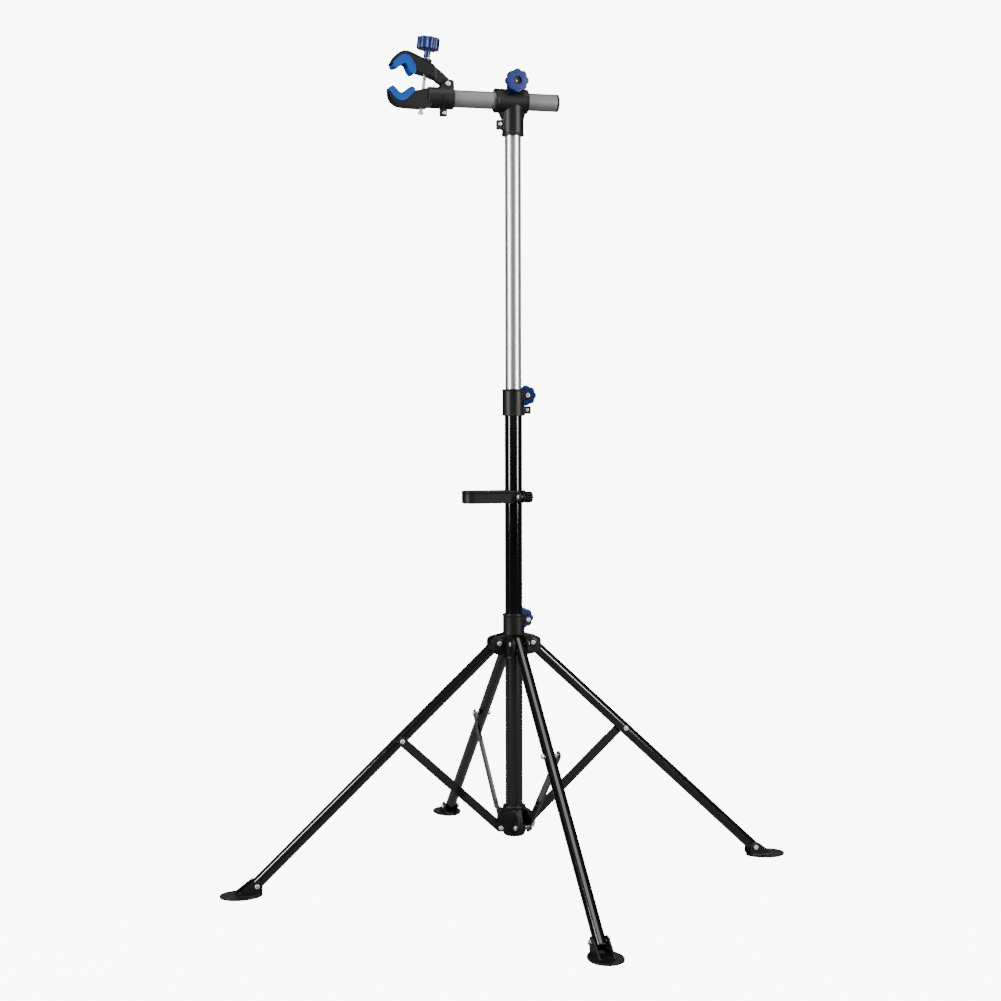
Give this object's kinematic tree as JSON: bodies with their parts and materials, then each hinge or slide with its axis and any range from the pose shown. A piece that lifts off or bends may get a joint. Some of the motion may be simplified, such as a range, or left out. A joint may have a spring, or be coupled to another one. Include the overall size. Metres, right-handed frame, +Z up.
{
  "type": "bike repair stand",
  "caption": "Folding bicycle repair stand with braced legs, telescopic mast, tee fitting, rotating clamp arm with padded screw jaws, star knobs and a tool tray.",
  "frame": {"origin": "mast axis at floor level, centre of the spread of the four feet", "axes": "+Z up the mast; -X towards the clamp head; legs along +X, +Y, -X and -Y"},
  "size_m": [1.294, 1.294, 1.8134],
  "materials": {
    "black_powder_coat": "gloss powder coat",
    "black_plastic": "satin moulded",
    "silver_tube": "satin anodised",
    "grey_tube": "matte grey coat",
    "blue_knob": "moulded gloss",
    "blue_rubber": "soft satin",
    "brass": "turned",
    "zinc_steel": "bright zinc plate"
  },
  "bodies": {
    "mast": {"lower_mast_tube": "black_powder_coat", "bottom_hub": "black_plastic", "brace_bolt_set": "zinc_steel", "mid_collar": "black_plastic", "mid_clamp_bolt": "zinc_steel", "mid_pinch_screw": "zinc_steel"},
    "mid_knob": {"mid_knob": "blue_knob", "mid_knob_insert": "brass"},
    "upper_mast": {"upper_mast_tube": "silver_tube", "slide_bush": "black_plastic"},
    "tee": {"tee_fitting": "black_plastic", "tee_clamp_bolt": "zinc_steel", "tee_pinch_screw": "zinc_steel"},
    "tee_knob": {"tee_knob": "blue_knob", "tee_knob_insert": "brass"},
    "arm": {"arm_tube": "grey_tube", "arm_end_cap": "black_plastic"},
    "head": {"clamp_head": "black_plastic", "lower_jaw_pad": "blue_rubber", "head_pinch_screw": "zinc_steel", "jaw_hinge_pin": "zinc_steel"},
    "upper_jaw": {"upper_jaw": "black_plastic", "upper_jaw_pad": "blue_rubber"},
    "barrel_nut": {"barrel_nut": "zinc_steel"},
    "saddle_washer": {"saddle_washer": "zinc_steel"},
    "clamp_screw": {"clamp_rod": "zinc_steel", "stop_nut": "zinc_steel", "clamp_knob": "blue_knob"},
    "tray": {"tool_tray": "black_plastic", "tray_bolt": "zinc_steel"},
    "tray_knob": {"tray_knob": "black_plastic"},
    "leg_hub": {"leg_hub": "black_plastic", "leg_pivot_bolts": "zinc_steel", "hub_clamp_bolt": "zinc_steel"},
    "hub_knob": {"hub_knob": "blue_knob", "hub_knob_insert": "brass"},
    "brace_left": {"brace_left": "black_powder_coat"},
    "leg_left": {"leg_tube_left": "black_powder_coat", "leg_plug_left": "black_plastic", "leg_bolts_left": "zinc_steel"},
    "foot_left": {"foot_left": "black_plastic"},
    "brace_front": {"brace_front": "black_powder_coat"},
    "leg_front": {"leg_tube_front": "black_powder_coat", "leg_plug_front": "black_plastic", "leg_bolts_front": "zinc_steel"},
    "foot_front": {"foot_front": "black_plastic"},
    "brace_right": {"brace_right": "black_powder_coat"},
    "leg_right": {"leg_tube_right": "black_powder_coat", "leg_plug_right": "black_plastic", "leg_bolts_right": "zinc_steel"},
    "foot_right": {"foot_right": "black_plastic"},
    "brace_rear": {"brace_rear": "black_powder_coat"},
    "leg_rear": {"leg_tube_rear": "black_powder_coat", "leg_plug_rear": "black_plastic", "leg_bolts_rear": "zinc_steel"},
    "foot_rear": {"foot_rear": "black_plastic"}
  },
  "joints": [
    {"name": "leg_fold", "type": "hinge", "parent": "mast", "child": "brace_left", "pos_m": [-0.038, 0, 0.11253], "axis": [0, 1, 0], "range_deg": [0, 44]},
    {"name": "leg_left_fold", "type": "hinge", "parent": "brace_left", "child": "leg_left", "pos_m": [-0.25574, 0, 0.31452], "axis": [0, -1, 0], "range_deg": [0, 88]},
    {"name": "foot_left_tilt", "type": "hinge", "parent": "leg_left", "child": "foot_left", "pos_m": [-0.57, 0, 0.023], "axis": [0, 1, 0], "range_deg": [-20, 60]},
    {"name": "hub_level", "type": "hinge", "parent": "leg_left", "child": "leg_hub", "pos_m": [-0.038, 0, 0.5165], "axis": [0, 1, 0], "range_deg": [0, 44]},
    {"name": "brace_front_fold", "type": "hinge", "parent": "mast", "child": "brace_front", "pos_m": [0, -0.038, 0.11253], "axis": [-1, 0, 0], "range_deg": [0, 44]},
    {"name": "leg_front_fold", "type": "hinge", "parent": "brace_front", "child": "leg_front", "pos_m": [0, -0.25574, 0.31452], "axis": [1, 0, 0], "range_deg": [0, 88]},
    {"name": "foot_front_tilt", "type": "hinge", "parent": "leg_front", "child": "foot_front", "pos_m": [0, -0.57, 0.023], "axis": [-1, 0, 0], "range_deg": [-20, 60]},
    {"name": "brace_right_fold", "type": "hinge", "parent": "mast", "child": "brace_right", "pos_m": [0.038, 0, 0.11253], "axis": [0, -1, 0], "range_deg": [0, 44]},
    {"name": "leg_right_fold", "type": "hinge", "parent": "brace_right", "child": "leg_right", "pos_m": [0.25574, 0, 0.31452], "axis": [0, 1, 0], "range_deg": [0, 88]},
    {"name": "foot_right_tilt", "type": "hinge", "parent": "leg_right", "child": "foot_right", "pos_m": [0.57, 0, 0.023], "axis": [0, -1, 0], "range_deg": [-20, 60]},
    {"name": "brace_rear_fold", "type": "hinge", "parent": "mast", "child": "brace_rear", "pos_m": [0, 0.038, 0.11253], "axis": [1, 0, 0], "range_deg": [0, 44]},
    {"name": "leg_rear_fold", "type": "hinge", "parent": "brace_rear", "child": "leg_rear", "pos_m": [0, 0.25574, 0.31452], "axis": [-1, 0, 0], "range_deg": [0, 88]},
    {"name": "foot_rear_tilt", "type": "hinge", "parent": "leg_rear", "child": "foot_rear", "pos_m": [0, 0.57, 0.023], "axis": [1, 0, 0], "range_deg": [-20, 60]},
    {"name": "mast_slide", "type": "slide", "parent": "mast", "child": "upper_mast", "axis": [0, 0, 1], "range_m": [-0.53, 0.062]},
    {"name": "mast_turn", "type": "hinge", "parent": "upper_mast", "child": "tee", "pos_m": [0, 0, 1.635], "axis": [0, 0, 1], "continuous": true},
    {"name": "arm_slide", "type": "slide", "parent": "tee", "child": "arm", "axis": [1, 0, 0], "range_m": [-0.06, 0.088]},
    {"name": "head_turn", "type": "hinge", "parent": "arm", "child": "head", "pos_m": [-0.16, 0, 1.686], "axis": [1, 0, 0], "continuous": true},
    {"name": "screw_turn", "type": "hinge", "parent": "saddle_washer", "child": "clamp_screw", "pos_m": [-0.18991, 0, 1.768], "axis": [0.1158, 0, 0.9933], "range_deg": [-1044.5, 4308.7]},
    {"name": "jaw", "type": "hinge", "parent": "head", "child": "upper_jaw", "pos_m": [-0.147, 0, 1.7146], "axis": [0, -1, 0], "range_deg": [-4.1, 16.6]},
    {"name": "screw_swing", "type": "hinge", "parent": "head", "child": "barrel_nut", "pos_m": [-0.1997, 0, 1.684], "axis": [0, -1, 0], "range_deg": [-2.43, 9.72]},
    {"name": "screw_feed", "type": "slide", "parent": "barrel_nut", "child": "saddle_washer", "axis": [-0.1158, 0, -0.9933], "range_m": [-0.00373, 0.01506]},
    {"name": "tray_slide", "type": "slide", "parent": "mast", "child": "tray", "axis": [0, 0, 1], "range_m": [-0.03, 0.15]},
    {"name": "tray_knob_turn", "type": "hinge", "parent": "tray", "child": "tray_knob", "pos_m": [0.02, -0.032, 0.8355], "axis": [1, 0, 0], "continuous": true},
    {"name": "mid_knob_turn", "type": "hinge", "parent": "mast", "child": "mid_knob", "pos_m": [0.03376, 0.01381, 1.055], "axis": [0.1908, 0.9816, 0], "continuous": true},
    {"name": "hub_knob_turn", "type": "hinge", "parent": "leg_hub", "child": "hub_knob", "pos_m": [0.0305, 0.02, 0.565], "axis": [0, 1, 0], "continuous": true},
    {"name": "tee_knob_turn", "type": "hinge", "parent": "tee", "child": "tee_knob", "pos_m": [0, -0.02, 1.7245], "axis": [0, -1, 0], "continuous": true}
  ],
  "couplings": [
    {"joint": "leg_left_fold", "follows": "leg_fold", "ratio": 2},
    {"joint": "hub_level", "follows": "leg_fold", "ratio": 1},
    {"joint": "brace_front_fold", "follows": "leg_fold", "ratio": 1},
    {"joint": "leg_front_fold", "follows": "leg_fold", "ratio": 2},
    {"joint": "brace_right_fold", "follows": "leg_fold", "ratio": 1},
    {"joint": "leg_right_fold", "follows": "leg_fold", "ratio": 2},
    {"joint": "brace_rear_fold", "follows": "leg_fold", "ratio": 1},
    {"joint": "leg_rear_fold", "follows": "leg_fold", "ratio": 2},
    {"joint": "jaw", "follows": "screw_turn", "ratio": 0.0038295},
    {"joint": "screw_swing", "follows": "screw_turn", "ratio": 0.0022316},
    {"joint": "screw_feed", "follows": "screw_turn", "m_per_rad": 0.00019894}
  ]
}
